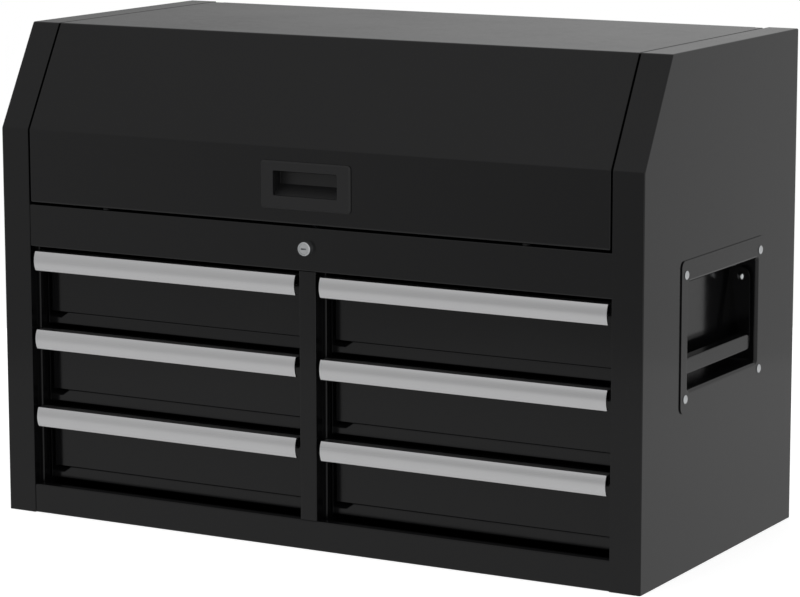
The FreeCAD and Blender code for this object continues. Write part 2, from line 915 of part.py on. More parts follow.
def strut_lid_bracket():
    """The small plate on the lid's skirt with the strut's upper pin."""
    y, z = strut_lid_end()
    skirt = lid_half_width - panel_sheet
    plate = rounded_plate("yz", (y, z), (lid_bracket_length, lid_bracket_height), bracket_sheet,
                          skirt - bracket_sheet, skirt)
    return plate.fuse(strut_pin(skirt - bracket_sheet, (y, z))).removeSplitter()


def strut_cabinet_bracket():
    """The stand-off inside the cabinet's side with the strut's lower pin."""
    y, z = strut_cabinet_end()
    plate = rounded_plate("yz", (y, z), (cabinet_bracket_size, cabinet_bracket_size), bracket_sheet,
                          skin_inside - bracket_sheet, skin_inside)
    face = lid_half_width - panel_sheet - bracket_sheet
    half = cabinet_bracket_arm / 2
    arm = box((face, skin_inside - bracket_sheet), (y - half, y + half), (z - half, z + half))
    hollow = box(
        (face + bracket_sheet, skin_inside - bracket_sheet),
        (y - half + bracket_sheet, y + half - bracket_sheet),
        (z - half - overrun, z + half - bracket_sheet),
    )
    solid = plate.fuse(arm).cut(hollow)
    return solid.fuse(strut_pin(face, (y, z))).removeSplitter()


# Lock

def bar_front():
    """The front face of the lock bar's upper end, close behind the cam."""
    return front + frame_recess + lock_barrel_length + cam_clearance + cam_thickness + lock_bar_gap


def tongue_front():
    """The front face of the tongue, which is riveted to the back of the lock bar."""
    return bar_front() + lock_bar_sheet


def crank_offset():
    """How far the crank pin stands off the lock's axis each way, at both ends of its quarter turn."""
    return crank_radius * math.sqrt(0.5)


def lock_travel():
    """How far the lock bar rises over the quarter turn."""
    return 2 * crank_offset()


def lug_bottom(row):
    """The underside of a row's lugs with the lock open."""
    drawer_bottom = first_drawer_bottom + row * drawer_pitch
    return drawer_bottom + slide_level + slide_height / 2 + lug_rail_gap


def lock_housing():
    """The chromed collar with its barrel through the header."""
    face = front + frame_recess - lock_reach
    collar = turned([
        (0, 0), (lock_face_radius - lock_rim_chamfer, 0), (lock_face_radius, lock_rim_chamfer),
        (lock_collar_radius, lock_reach - lock_rim_chamfer), (lock_collar_radius, lock_reach),
        (lock_barrel_radius, lock_reach), (lock_barrel_radius, lock_reach + lock_barrel_length),
        (0, lock_reach + lock_barrel_length),
    ], Vector(0, face, lock_height), rearwards)
    bore = rod(Vector(0, face - overrun, lock_height), rearwards, lock_plug_radius + lock_plug_clearance,
               lock_reach + lock_barrel_length + 2 * overrun)
    return collar.cut(bore)


def lock_nut():
    """The hexagon nut behind the header."""
    corner = lock_nut_flats / math.sqrt(3)
    angles = [math.radians(60 * index) for index in range(6)]
    points = [(corner * math.cos(angle), lock_height + corner * math.sin(angle)) for angle in angles]
    start = frame_front + panel_sheet
    nut = prism(points, None, "xz", start, start + lock_nut_thickness)
    return nut.cut(rod(Vector(0, start - overrun, lock_height), rearwards, lock_barrel_radius,
                       lock_nut_thickness + 2 * overrun))


def lock_plug():
    """The plug that the key turns, with a stub for the cam behind."""
    face = front + frame_recess - lock_reach + lock_plug_sink
    rear = front + frame_recess + lock_barrel_length
    plug = rod(Vector(0, face, lock_height), rearwards, lock_plug_radius, rear - face)
    stub = rod(Vector(0, rear, lock_height), rearwards, lock_stub_radius, cam_clearance + cam_thickness)
    slot = box((-key_slot_length / 2, key_slot_length / 2), (face - overrun, face + key_slot_depth),
               (lock_height - key_slot_width / 2, lock_height + key_slot_width / 2))
    return plug.fuse(stub).cut(slot).removeSplitter()


def lock_cam():
    """The crank behind the lock, whose pin lifts the lock bar."""
    start = front + frame_recess + lock_barrel_length + cam_clearance
    offset = crank_offset()
    hub = rod(Vector(0, start, lock_height), rearwards, cam_hub_radius, cam_thickness)
    eye = rod(Vector(-offset, start, lock_height - offset), rearwards, crank_eye_radius, cam_thickness)
    pin_base = Vector(-offset, start + cam_thickness, lock_height - offset)
    pin = rod(pin_base, rearwards, crank_pin_radius, crank_pin_length)
    bore_length = cam_thickness + 2 * overrun
    bore = rod(Vector(0, start - overrun, lock_height), rearwards, lock_stub_radius, bore_length)
    return hub.fuse([eye, pin]).cut(bore).removeSplitter()


def lock_bar():
    """The bar inside the centre wall. It carries a tongue for the lid and a lug plate for every row."""
    half = lock_bar_width / 2
    upper = bar_front()
    lower = front + lock_bar_setback
    head = lid_bottom - lock_travel() - lock_tongue_gap
    path = [
        (upper + lock_bar_sheet, head),
        (upper + lock_bar_sheet, lock_bar_jog_top),
        (lower, lock_bar_jog_top - lock_bar_jog_drop),
        (lower, lug_bottom(0)),
    ]
    bar = folded(path[::-1], lock_bar_sheet, lock_bar_sheet, "yz", -half, half)
    offset = crank_offset()
    slack = crank_pin_radius + crank_slot_clearance
    bar = bar.cut(box(
        (-crank_radius - slack, slack - offset),
        (upper - overrun, upper + lock_bar_sheet + overrun),
        (lock_height - offset - slack, lock_height - offset + slack),
    ))
    tongue = box(
        (-lock_tongue_width / 2, lock_tongue_width / 2),
        (tongue_front(), tongue_front() + lock_bar_sheet),
        (head - lock_tongue_width, lid_bottom - lock_tongue_gap),
    )
    reach = centre_face + lug_reach
    lugs = [
        box((-reach, reach), (lower, lower + lock_bar_sheet), (lug_bottom(row), lug_bottom(row) + lug_height))
        for row in range(drawer_rows)
    ]
    return group([bar, tongue] + lugs)


# Drawers, drawn for the lower right-hand bay and copied to the others

def drawer():
    """A folded tray behind a dished front, whose top edge comes forward as the seat of the pull."""
    base = first_drawer_bottom
    shelf = base + pull_underside - drawer_sheet
    half_front = drawer_front_width / 2
    path = [
        (front + shelf_setback + drawer_sheet, shelf - shelf_flange_drop),
        (front + shelf_setback + drawer_sheet, shelf),
        (front + face_setback, shelf),
        (front + face_setback, base + drawer_floor),
        (front + lip_setback, base + lip_height),
        (front + lip_setback, base),
        (front + lip_setback + lip_return, base),
    ]
    front_sheet = folded(path, drawer_sheet, drawer_bend_radius, "yz", bay_centre - half_front,
                         bay_centre + half_front)
    cheeks = [
        box(sorted((bay_centre + side * half_front, bay_centre + side * (half_front - drawer_sheet))),
            (front + front_side_setback, front + face_setback + drawer_sheet), (base, shelf))
        for side in (-1, 1)
    ]
    half = drawer_width / 2
    floor = base + drawer_floor
    top = floor + drawer_side_height
    near = front + face_setback
    tray = box((bay_centre - half, bay_centre + half), (near, drawer_back), (floor, top))
    tray = tray.cut(box(
        (bay_centre - half + drawer_sheet, bay_centre + half - drawer_sheet),
        (near + drawer_sheet, drawer_back - drawer_sheet),
        (floor + drawer_sheet, top + overrun),
    ))
    hems = [
        box(sorted((bay_centre + side * half, bay_centre + side * (half - drawer_hem))), (near, drawer_back),
            (top - drawer_sheet, top))
        for side in (-1, 1)
    ]
    hems.append(box((bay_centre - half, bay_centre + half), (drawer_back - drawer_hem, drawer_back),
                    (top - drawer_sheet, top)))
    return front_sheet.fuse(cheeks + [tray] + hems).removeSplitter()


def drawer_catch():
    """The angle riveted to a drawer's side, whose tab a raised lug of the lock bar stands in front of."""
    near = front + lock_bar_setback + lock_bar_sheet + catch_lug_gap
    wall = bay_centre - drawer_width / 2
    bottom = first_drawer_bottom + catch_bottom
    levels = (bottom, bottom + catch_height)
    tab = box((centre_face + catch_wall_gap, wall), (near, near + catch_sheet), levels)
    foot = box((wall - catch_sheet, wall), (near, near + catch_foot_length), levels)
    return tab.fuse(foot).removeSplitter()


def drawer_pull():
    """The arched aluminium extrusion along the top of a drawer's front."""
    top = first_drawer_bottom + drawer_front_height
    bottom = top - pull_height
    middle = (top + bottom) / 2
    edge = front + pull_edge_setback
    radius = ((pull_height / 2) ** 2 + pull_bulge ** 2) / (2 * pull_bulge)
    centre = edge - pull_bulge + radius
    inner = radius - pull_wall

    def inside(level):
        return centre - math.sqrt(inner ** 2 - (level - middle) ** 2)

    start = bay_centre - drawer_front_width / 2
    seat = front + shelf_setback
    under_flange = top - pull_flange_thickness
    over_lip = bottom + pull_flange_thickness
    rib_top, rib_bottom = middle + pull_rib_thickness / 2, middle - pull_rib_thickness / 2

    def point(y, z):
        return place("yz", y, z, start)

    def bow(levels, depth_at):
        return Part.Arc(*[point(depth_at(level), level) for level in levels]).toShape()

    front_arc = Part.Arc(point(edge, top), point(edge - pull_bulge, middle), point(edge, bottom)).toShape()
    lip = Part.makePolygon([
        point(edge, bottom), point(edge + pull_lip_depth, bottom), point(edge + pull_lip_depth, over_lip),
        point(inside(over_lip), over_lip),
    ])
    lower_arc = bow([over_lip, (over_lip + rib_bottom) / 2, rib_bottom], inside)
    rib = Part.makePolygon([
        point(inside(rib_bottom), rib_bottom), point(seat, rib_bottom), point(seat, rib_top),
        point(inside(rib_top), rib_top),
    ])
    upper_arc = bow([rib_top, (under_flange + rib_top) / 2, under_flange], inside)
    flange = Part.makePolygon([
        point(inside(under_flange), under_flange), point(edge + pull_flange_depth, under_flange),
        point(edge + pull_flange_depth, top), point(edge, top),
    ])
    wire = Part.Wire([front_arc] + lip.Edges + [lower_arc] + rib.Edges + [upper_arc] + flange.Edges)
    return Part.Face(wire).extrude(Vector(drawer_front_width, 0, 0))


def slide_channel(web, tips, half_height):
    """One slide member as a channel, for the right-hand wall of the bay."""
    level = first_drawer_bottom + slide_level
    path = [
        (tips, level - half_height), (web, level - half_height),
        (web, level + half_height), (tips, level + half_height),
    ]
    if tips > web:
        path = path[::-1]
    return folded(path, slide_sheet, slide_sheet, "xz", front + slide_setback,
                  front + slide_setback + slide_length)


def both_walls(solid):
    """A slide member on the bay's right-hand wall, and its twin on the left-hand one."""
    return [solid, solid.mirror(Vector(bay_centre, 0, 0), rightwards)]


def cabinet_slides():
    """The outer slide members, screwed to the bay's walls."""
    return both_walls(slide_channel(slide_wall, slide_wall - cabinet_slide_reach, slide_height / 2))


def middle_slides():
    """The middle slide members, which run inside the outer ones."""
    web = slide_wall - slide_sheet - slide_web_gap
    tips = slide_wall - slide_thickness + slide_sheet + slide_tip_gap
    return both_walls(slide_channel(web, tips, slide_height / 2 - slide_sheet - slide_race_gap))


def drawer_slides():
    """The inner slide members, fixed to the drawer's sides."""
    web = slide_wall - slide_thickness
    tips = slide_wall - 2 * slide_sheet - slide_web_gap - slide_tip_gap
    half = slide_height / 2 - 2 * (slide_sheet + slide_race_gap)
    return both_walls(slide_channel(web, tips, half))


def in_bay(solid, side, row):
    """A copy of a solid of the lower right-hand bay, in the bay of the given side and row."""
    copy = solid.copy()
    copy.translate(Vector(0, 0, row * drawer_pitch))
    return flipped_solid(copy) if side == "left" else copy


# Side handles, drawn for the right-hand side

def handle_pan():
    """The pressed pan of a side handle: a flat plate outside and a box that reaches into the side."""
    centre = (front + handle_setback, handle_level)
    face = half_width + plate_thickness
    floor = half_width - pan_depth
    plate = rounded_plate("yz", centre, (plate_length, plate_height), plate_corner_radius, half_width, face)
    well = rounded_plate(
        "yz", centre, (window_length + 2 * pan_sheet, window_height + 2 * pan_sheet),
        window_corner_radius + pan_sheet, floor - pan_sheet, half_width,
    )
    window = (window_length, window_height)
    hollow = rounded_plate("yz", centre, window, window_corner_radius, floor, face + overrun)
    solid = plate.fuse(well).removeSplitter()
    solid = rounded(solid, window_bend_radius - plate_thickness,
                    lambda edge: on_plane(edge, "x", half_width) and inside_plate(edge))
    pan = solid.cut(hollow)
    pan = rounded(pan, window_bend_radius, lambda edge: on_plane(edge, "x", face) and inside_plate(edge))
    for spot in screw_spots():
        pan = pan.cut(rod(spot - Vector(plate_thickness + overrun, 0, 0), rightwards,
                          screw_shank_radius + screw_hole_clearance, 2 * (plate_thickness + overrun)))
    reach = window_length / 2 + pan_sheet + overrun
    return pan.cut(rod(bail_pivot() - Vector(0, reach, 0), rearwards, bail_rivet_radius, 2 * reach))


def inside_plate(edge):
    """Whether an edge belongs to the window and not to the plate's rim."""
    border = (window_height + plate_height) * plate_border_share
    return all(abs(vertex.Point.z - handle_level) < border for vertex in edge.Vertexes)


def bail_pivot():
    """The middle of the right-hand bail's pivot line."""
    return Vector(half_width - bail_pivot_depth, front + handle_setback, bail_pivot_height)


def bail():
    """The swing handle: two flat arms and a flat-faced grip with round ends."""
    pivot = bail_pivot()
    half = bail_span / 2
    face = half_width - bail_grip_depth
    rear = face - bail_grip_thickness
    arms = []
    for side in (-1, 1):
        levels = sorted((pivot.y + side * half, pivot.y + side * (half - bail_arm_sheet)))
        blade = prism([
            (rear, bail_grip_level), (face, bail_grip_level),
            (pivot.x + bail_arm_radius, pivot.z), (pivot.x - bail_arm_radius, pivot.z),
        ], None, "xz", *levels)
        eye = rod(Vector(pivot.x, levels[0], pivot.z), rearwards, bail_arm_radius, levels[1] - levels[0])
        arms += [blade, eye]
    grip_radius = bail_grip_height / 2
    grip = rounded_plate("yz", (pivot.y, bail_grip_level), (bail_span, bail_grip_height),
                         grip_radius * (1 - roundness_share), rear, face)
    grip = rounded(grip, bail_edge_radius,
                   lambda edge: on_plane(edge, "x", face) or on_plane(edge, "x", rear))
    solid = grip.fuse(arms)
    bore_radius = bail_pin_radius + bail_pin_clearance
    bore = rod(pivot - rearwards * bail_span, rearwards, bore_radius, 2 * bail_span)
    return solid.cut(bore).removeSplitter()


def bail_pin(side):
    """A shouldered pin, riveted through the pan's wall, with a bright domed head inside the arm."""
    pivot = bail_pivot()
    wall = window_length / 2
    arm_out = bail_span / 2 + fit_gap
    arm_in = bail_span / 2 - bail_arm_sheet - fit_gap
    start = pivot + Vector(0, side * (wall + pan_sheet), 0)
    inwards = Vector(0, -side, 0)
    pin = turned([
        (0, -bail_rivet_length), (bail_head_radius, -bail_rivet_length), (bail_head_radius, 0),
        (bail_rivet_radius, 0), (bail_rivet_radius, pan_sheet), (bail_collar_radius, pan_sheet),
        (bail_collar_radius, wall + pan_sheet - arm_out), (bail_pin_radius, wall + pan_sheet - arm_out),
        (bail_pin_radius, wall + pan_sheet - arm_in), (0, wall + pan_sheet - arm_in),
    ], start, inwards)
    head = domed_head(pivot + Vector(0, side * arm_in, 0), inwards, bail_head_radius, bail_head_height)
    return pin.fuse(head).removeSplitter()


def handle_screw(spot):
    """A pan-head screw that holds the handle's plate to the side."""
    head = domed_head(spot, rightwards, screw_head_radius, screw_head_height)
    return head.fuse(rod(spot, leftwards, screw_shank_radius, screw_shank_length)).removeSplitter()


# The whole chest

def both_sides(solids):
    """The solids and their twins on the other side."""
    return group(solids + [flipped_solid(solid) for solid in solids])


def pieces():
    """Every sub-part by name."""
    found = {
        "right_side_panel": side_panel(),
        "back_panel": back_panel(),
        "bottom_panel": bottom_panel(),
        "till_floor": till_floor(),
        "header_panel": header_panel(),
        "bottom_rail": bottom_rail(),
        "centre_post": centre_post(),
        "centre_wall": centre_wall(),
        "slide_posts": slide_posts(),
        "lid_bumpers": lid_bumpers(),
        "lid": lid(),
        "lid_handle": lid_handle(),
        "hinge_cabinet_leaf": hinge_leaf(1, 0),
        "hinge_lid_leaf": hinge_leaf(-1, 1),
        "hinge_pin": hinge_pin(),
        "strut_lid_brackets": both_sides([strut_lid_bracket()]),
        "strut_cabinet_brackets": both_sides([strut_cabinet_bracket()]),
        "right_strut_rod": strut_rod(),
        "right_strut_cylinder": strut_cylinder(),
        "lock_housing": lock_housing(),
        "lock_nut": lock_nut(),
        "lock_plug": lock_plug(),
        "lock_cam": lock_cam(),
        "lock_bar": lock_bar(),
        "right_handle_pan": handle_pan(),
        "right_bail": bail(),
        "bail_pins": both_sides([bail_pin(-1), bail_pin(1)]),
        "handle_screws": both_sides([handle_screw(spot) for spot in screw_spots()]),
    }
    for name in ("side_panel", "strut_rod", "strut_cylinder", "handle_pan", "bail"):
        found["left_" + name] = flipped_solid(found["right_" + name])
    tray, catch, pull = drawer(), drawer_catch(), drawer_pull()
    outer, middle, inner = cabinet_slides(), middle_slides(), drawer_slides()
    fixed = []
    for side in ("left", "right"):
        for row, level in enumerate(("bottom", "middle", "top")):
            name = side + "_" + level
            found[name + "_drawer"] = group([in_bay(solid, side, row) for solid in (tray, catch)])
            found[name + "_pull"] = in_bay(pull, side, row)
            found[name + "_middle_slides"] = group([in_bay(solid, side, row) for solid in middle])
            found[name + "_drawer_slides"] = group([in_bay(solid, side, row) for solid in inner])
            fixed += [in_bay(solid, side, row) for solid in outer]
    found["cabinet_slides"] = group(fixed)
    return found


def main():
    """Writes one STEP file for each sub-part."""
    os.makedirs("parts", exist_ok=True)
    for name, shape in pieces().items():
        shape.exportStep("parts/" + name + ".step")


main()
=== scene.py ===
import json
import math

import bmesh
import bpy
from bpy.props import FloatProperty, FloatVectorProperty, PointerProperty
from mathutils import Matrix, Vector
from mathutils.bvhtree import BVHTree

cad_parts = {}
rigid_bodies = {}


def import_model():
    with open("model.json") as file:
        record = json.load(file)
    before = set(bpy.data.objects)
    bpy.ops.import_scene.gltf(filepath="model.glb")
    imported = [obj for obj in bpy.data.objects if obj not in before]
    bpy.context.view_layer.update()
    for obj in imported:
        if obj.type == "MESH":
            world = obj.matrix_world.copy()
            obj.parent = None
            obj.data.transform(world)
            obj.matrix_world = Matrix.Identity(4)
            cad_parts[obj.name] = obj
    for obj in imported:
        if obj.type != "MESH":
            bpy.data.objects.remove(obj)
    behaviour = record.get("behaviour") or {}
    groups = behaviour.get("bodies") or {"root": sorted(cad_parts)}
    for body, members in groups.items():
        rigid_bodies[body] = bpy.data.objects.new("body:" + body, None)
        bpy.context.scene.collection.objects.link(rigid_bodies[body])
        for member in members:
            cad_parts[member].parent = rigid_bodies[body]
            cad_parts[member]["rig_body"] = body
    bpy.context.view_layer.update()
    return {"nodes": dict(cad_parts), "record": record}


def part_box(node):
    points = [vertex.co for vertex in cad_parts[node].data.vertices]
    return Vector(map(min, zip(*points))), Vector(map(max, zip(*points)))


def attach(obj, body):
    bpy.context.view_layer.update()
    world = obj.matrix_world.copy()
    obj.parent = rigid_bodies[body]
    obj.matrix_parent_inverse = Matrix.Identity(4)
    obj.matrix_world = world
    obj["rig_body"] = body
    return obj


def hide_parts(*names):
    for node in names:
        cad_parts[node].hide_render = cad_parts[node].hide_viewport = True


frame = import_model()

# A steel machinist's top chest: the looks of its enamel, aluminium, zinc, chrome, plastic and
# rubber parts, and the studio that it stands in. Metres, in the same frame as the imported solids:
# X to the right, Y to the back, Z up.

bl_info = {
    "name": "Machinist Tool Chest",
    "version": (1, 0, 0),
    "blender": (4, 5, 0),
    "location": "3D View > Sidebar > Tool Chest",
    "description": "Finishes the tool chest's sheet metal, pulls, lock, slides and handles",
    "category": "Add Mesh",
}

SIDES = ("left", "right")
ROWS = ("bottom", "middle", "top")


# Measures and colours

def mm(length):
    """A length in millimetres, in metres."""
    return length / 1000


def per_metre(size):
    """The texture scale that gives a pattern of this size, in metres."""
    return 1 / size


def linear(code):
    """The linear colour of an sRGB hex code."""
    channels = [int(code[place:place + 2], 16) / 255 for place in (1, 3, 5)]
    return tuple(c / 12.92 if c <= 0.04045 else ((c + 0.055) / 1.055) ** 2.4 for c in channels)


def colour(code, name, description):
    """A colour that the user can change."""
    return FloatVectorProperty(name=name, description=description, subtype="COLOR", size=3,
                               min=0, max=1, default=linear(code))


def length(size, name, description):
    """A length that the user can change, given in millimetres."""
    return FloatProperty(name=name, description=description, default=mm(size), min=0,
                         subtype="DISTANCE", unit="LENGTH", precision=4)


def angle(degrees, name, description):
    """An angle that the user can change, given in degrees."""
    return FloatProperty(name=name, description=description, default=math.radians(degrees),
                         subtype="ANGLE", unit="ROTATION")


class ChestColours(bpy.types.PropertyGroup):
    """The colours of the chest's finishes."""
    enamel: colour("#0b0b0c", "Gloss enamel", "Baked enamel on the cabinet, lid and drawers")
    aluminium: colour("#e2e2e3", "Anodised aluminium", "Extruded drawer pulls")
    zinc: colour("#b4b8bd", "Zinc plate", "Slides, hinge leaves, lock bar and nut")
    zinc_tint: colour("#c3bfb2", "Zinc passivation", "The straw tint of plated steel in places")
    chrome: colour("#d9dbdd", "Chrome plate", "Lock, screws, bail pins and strut rods")
    plastic: colour("#161617", "Moulded plastic", "The lid's recessed handle")
    strut: colour("#0f0f10", "Strut paint", "Painted tubes of the gas struts")
    rubber: colour("#111112", "Rubber", "Lid bumpers")
    floor: colour("#f2f2f2", "Studio floor", "The pale floor that the chest stands on")


class ChestSizes(bpy.types.PropertyGroup):
    """The sizes of the details that are finished here."""
    sheet_edge: length(0.22, "Sheet edge", "How far the enamel rounds a cut sheet's edge")
    moulded_edge: length(1.0, "Moulded edge", "How far the lid handle's edges are rounded")
    pull_edge: length(0.3, "Pull edge", "How far a drawer pull's edges are rounded")
    slide_edge: length(0.2, "Slide edge", "How far a slide's rolled edges are rounded")
    lock_edge: length(0.25, "Lock edge", "How far the edges of the lock's pieces are rounded")
    pan_edge: length(0.2, "Pan edge", "How far the edges of a handle pan and its bail are rounded")
    screw_edge: length(0.35, "Screw edge", "How far the heads of screws and pins are rounded")
    orange_peel: length(1.8, "Orange peel", "Spacing of the ripples in the baked enamel")
    die_line: length(0.55, "Die lines", "Spacing of the die's lines along a pull")
    grain: length(0.7, "Moulded grain", "Spacing of the grain in the handle's mould")
    lip_dip: length(20.3, "Lip dip", "Lower stretch at the left end of a drawer's lip")
    lip_ramp: length(10.5, "Lip ramp", "Length over which the lip rises beside its lower stretch")
    lip_rise: length(6.6, "Lip rise", "How much higher the rest of the lip stands")
    face_forward: length(10.0, "Face forward", "How far a drawer's face comes forward")
    cheek_back: length(7.1, "Cheek back", "How far a drawer's cheeks stand back behind its lip")
    face_margin: length(5.1, "Face margin", "From the left end of a drawer's front to its face")
    face_foot: length(16.6, "Face foot", "Height of the face's lower edge over the lip's dip")


class ChestStudio(bpy.types.PropertyGroup):
    """The camera and the floor."""
    azimuth: angle(29.46, "Azimuth", "The camera's turn to the right of the front")
    elevation: angle(9.9, "Elevation", "The camera's height as an angle")
    roll: angle(-0.1, "Roll", "The camera's turn about its own line of sight")
    lens: FloatProperty(name="Lens", description="Focal length for a sensor 36 mm wide",
                        default=148.05, min=1, unit="CAMERA")
    eye: FloatVectorProperty(name="Camera place", description="Where the camera stands", size=3,
                             default=(2.0628, -3.6433, 1.0149), subtype="XYZ", unit="LENGTH")
    floor_radius: FloatProperty(name="Floor", description="Radius of the studio floor",
                                default=1.5, min=0.5, subtype="DISTANCE", unit="LENGTH")


# Making a solid's mesh into a finished piece

WELD_GAP = mm(0.002)
FLAT_ANGLE = math.radians(0.2)
SHARP_ANGLE = math.radians(50)
SMOOTH_ANGLE = math.radians(38)
EDGE_SEGMENTS = 2
OVERSHOOT_SHARE = 0.5
FACE_WEIGHT = 100


def merged_copy(node):
    """The node's mesh with its loose triangles joined and its flats made whole."""
    shape = bmesh.new()
    shape.from_mesh(frame["nodes"][node].data)
    bmesh.ops.remove_doubles(shape, verts=shape.verts, dist=WELD_GAP)
    bmesh.ops.dissolve_limit(shape, angle_limit=FLAT_ANGLE, use_dissolve_boundaries=False,
                             verts=shape.verts, edges=shape.edges, delimit=set())
    return shape


def round_sharp_edges(shape, width):
    """Rounds every sharp edge by the width given."""
    surface = BVHTree.FromBMesh(shape)
    sharp = [edge for edge in shape.edges if edge.calc_face_angle(0) > SHARP_ANGLE]
    bmesh.ops.bevel(shape, geom=sharp, offset=width, offset_type="OFFSET", affect="EDGES",
                    segments=EDGE_SEGMENTS, profile=0.5, material=-1, clamp_overlap=False)
    # A bevel overshoots where edges meet almost in line: such a corner goes back on the sheet
    for vert in shape.verts:
        near, _, _, distance = surface.find_nearest(vert.co)
        if distance > width * OVERSHOOT_SHARE:
            vert.co = near


def mesh_piece(name, shape, material):
    """Turns a bmesh into an object of its own, smooth but for its sharp edges."""
    for face in shape.faces:
        face.smooth = True
    for edge in shape.edges:
        edge.smooth = edge.calc_face_angle(math.pi) < SMOOTH_ANGLE
    mesh = bpy.data.meshes.new(name)
    shape.to_mesh(mesh)
    shape.free()
    mesh.materials.append(material)
    piece = bpy.data.objects.new(name, mesh)
    bpy.context.scene.collection.objects.link(piece)
    # A flat face keeps its flat shading beside a rounded edge
    modifier = piece.modifiers.new("flat_faces", "WEIGHTED_NORMAL")
    modifier.keep_sharp = True
    modifier.weight = FACE_WEIGHT
    return piece


def finished_node(node, material, edge_width, reshape):
    """A piece that takes a node's place, with its cut edges slightly rounded."""
    shape = merged_copy(node)
    if reshape:
        reshape(shape, node)
    if edge_width > 0:
        round_sharp_edges(shape, edge_width)
    piece = mesh_piece(node + "_finished", shape, material)
    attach(piece, frame["nodes"][node]["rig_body"])
    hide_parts(node)


def dress(context, nodes, edge_width=0.0, reshape=None):
    """Gives each node its own smooth piece in the finish of its slot."""
    made = finishes(context.scene)
    slots = {part["node"]: part["material_slot"] for part in frame["record"]["subparts"]}
    for node in nodes:
        finished_node(node, made[slots[node]], edge_width, reshape)


# Making a material

def add_node(tree, kind, settings=None, inputs=None):
    """Adds a node, sets its properties, and sets or links its inputs."""
    node = tree.nodes.new(kind)
    for name, value in (settings or {}).items():
        setattr(node, name, value)
    for name, value in (inputs or {}).items():
        if isinstance(value, bpy.types.NodeSocket):
            tree.links.new(value, node.inputs[name])
        else:
            node.inputs[name].default_value = value
    return node


def start_material(name, shader_inputs):
    """A material with its shader, and the object coordinates that its patterns read."""
    material = bpy.data.materials.new(name)
    material.use_nodes = True
    tree = material.node_tree
    tree.nodes.clear()
    shader = add_node(tree, "ShaderNodeBsdfPrincipled", inputs=shader_inputs)
    add_node(tree, "ShaderNodeOutputMaterial", inputs={"Surface": shader.outputs["BSDF"]})
    place = add_node(tree, "ShaderNodeTexCoord").outputs["Object"]
    return tree, shader, place


def finish_material(tree, shader, tint, rough, bump):
    """Links a material's colour, roughness and bump to its shader."""
    tree.links.new(tint.outputs[2], shader.inputs["Base Color"])
    tree.links.new(rough.outputs[0], shader.inputs["Roughness"])
    tree.links.new(bump.outputs[0], shader.inputs["Normal"])


def opaque(rgb, share=1.0):
    """A share of a colour with full alpha, for a shader's socket."""
    return (*(channel * share for channel in rgb), 1.0)


def baked_enamel(name, base, orange_peel, roughness):
    """Baked enamel on steel: a near-black gloss coat with faint orange peel and a slight haze."""
    cloud_size, haze_size, ripple_depth = mm(160), mm(9), mm(0.012)
    clear_of_haze, hazy, thick_coat = roughness - 0.03, roughness + 0.04, 1.25
    tree, shader, place = start_material(name, {"IOR": 1.42, "Metallic": 0.0})
    # A soft cloudiness over hundreds of millimetres, where the coat is a little thicker or thinner
    cloud = add_node(tree, "ShaderNodeTexNoise", inputs={
        "Vector": place, "Scale": per_metre(cloud_size), "Detail": 3.0})
    # Fine dust and polishing haze, a few millimetres across
    haze = add_node(tree, "ShaderNodeTexNoise", inputs={
        "Vector": place, "Scale": per_metre(haze_size), "Detail": 5.0, "Roughness": 0.65})
    mixed = add_node(tree, "ShaderNodeMath", {"operation": "MULTIPLY"}, {
        0: cloud.outputs["Fac"], 1: haze.outputs["Fac"]})
    rough = add_node(tree, "ShaderNodeMapRange", inputs={
        "Value": mixed.outputs[0], "From Min": 0.1, "From Max": 0.45,
        "To Min": clear_of_haze, "To Max": hazy})
    tint = add_node(tree, "ShaderNodeMix", {"data_type": "RGBA"}, {
        0: cloud.outputs["Fac"], 6: opaque(base), 7: opaque(base, thick_coat)})
    # Ripples of a few micrometres, which only a low light or a reflection shows
    peel = add_node(tree, "ShaderNodeTexNoise", inputs={
        "Vector": place, "Scale": per_metre(orange_peel), "Detail": 1.0})
    bump = add_node(tree, "ShaderNodeBump", inputs={
        "Height": peel.outputs["Fac"], "Strength": 0.25, "Distance": ripple_depth})
    finish_material(tree, shader, tint, rough, bump)


def anodised_aluminium(name, base, die_line):
    """Extruded, satin-anodised aluminium: bright metal with fine lines along its length."""
    line_length, line_depth, sheen_size, dull_sheen = mm(600), mm(0.02), mm(45), 0.96
    tree, shader, place = start_material(name, {"Metallic": 1.0})
    # Die lines run along X: the pattern is stretched a thousand times that way. Real ones are
    # about 0.1 mm apart, and these are coarser so that they show.
    drawn = add_node(tree, "ShaderNodeMapping", {"vector_type": "POINT"}, {
        "Vector": place,
        "Scale": (per_metre(line_length), per_metre(die_line), per_metre(die_line))})
    lines = add_node(tree, "ShaderNodeTexNoise", inputs={
        "Vector": drawn.outputs[0], "Scale": 1.0, "Detail": 4.0, "Roughness": 0.6})
    # The anodic layer's sheen changes slowly along the bar
    sheen = add_node(tree, "ShaderNodeTexNoise", inputs={
        "Vector": place, "Scale": per_metre(sheen_size), "Detail": 2.0})
    rough = add_node(tree, "ShaderNodeMapRange", inputs={
        "Value": lines.outputs["Fac"], "From Min": 0.3, "From Max": 0.7,
        "To Min": 0.27, "To Max": 0.34})
    tint = add_node(tree, "ShaderNodeMix", {"data_type": "RGBA"}, {
        0: sheen.outputs["Fac"], 6: opaque(base, dull_sheen), 7: opaque(base)})
    bump = add_node(tree, "ShaderNodeBump", inputs={
        "Height": lines.outputs["Fac"], "Strength": 0.12, "Distance": line_depth})
    finish_material(tree, shader, tint, rough, bump)


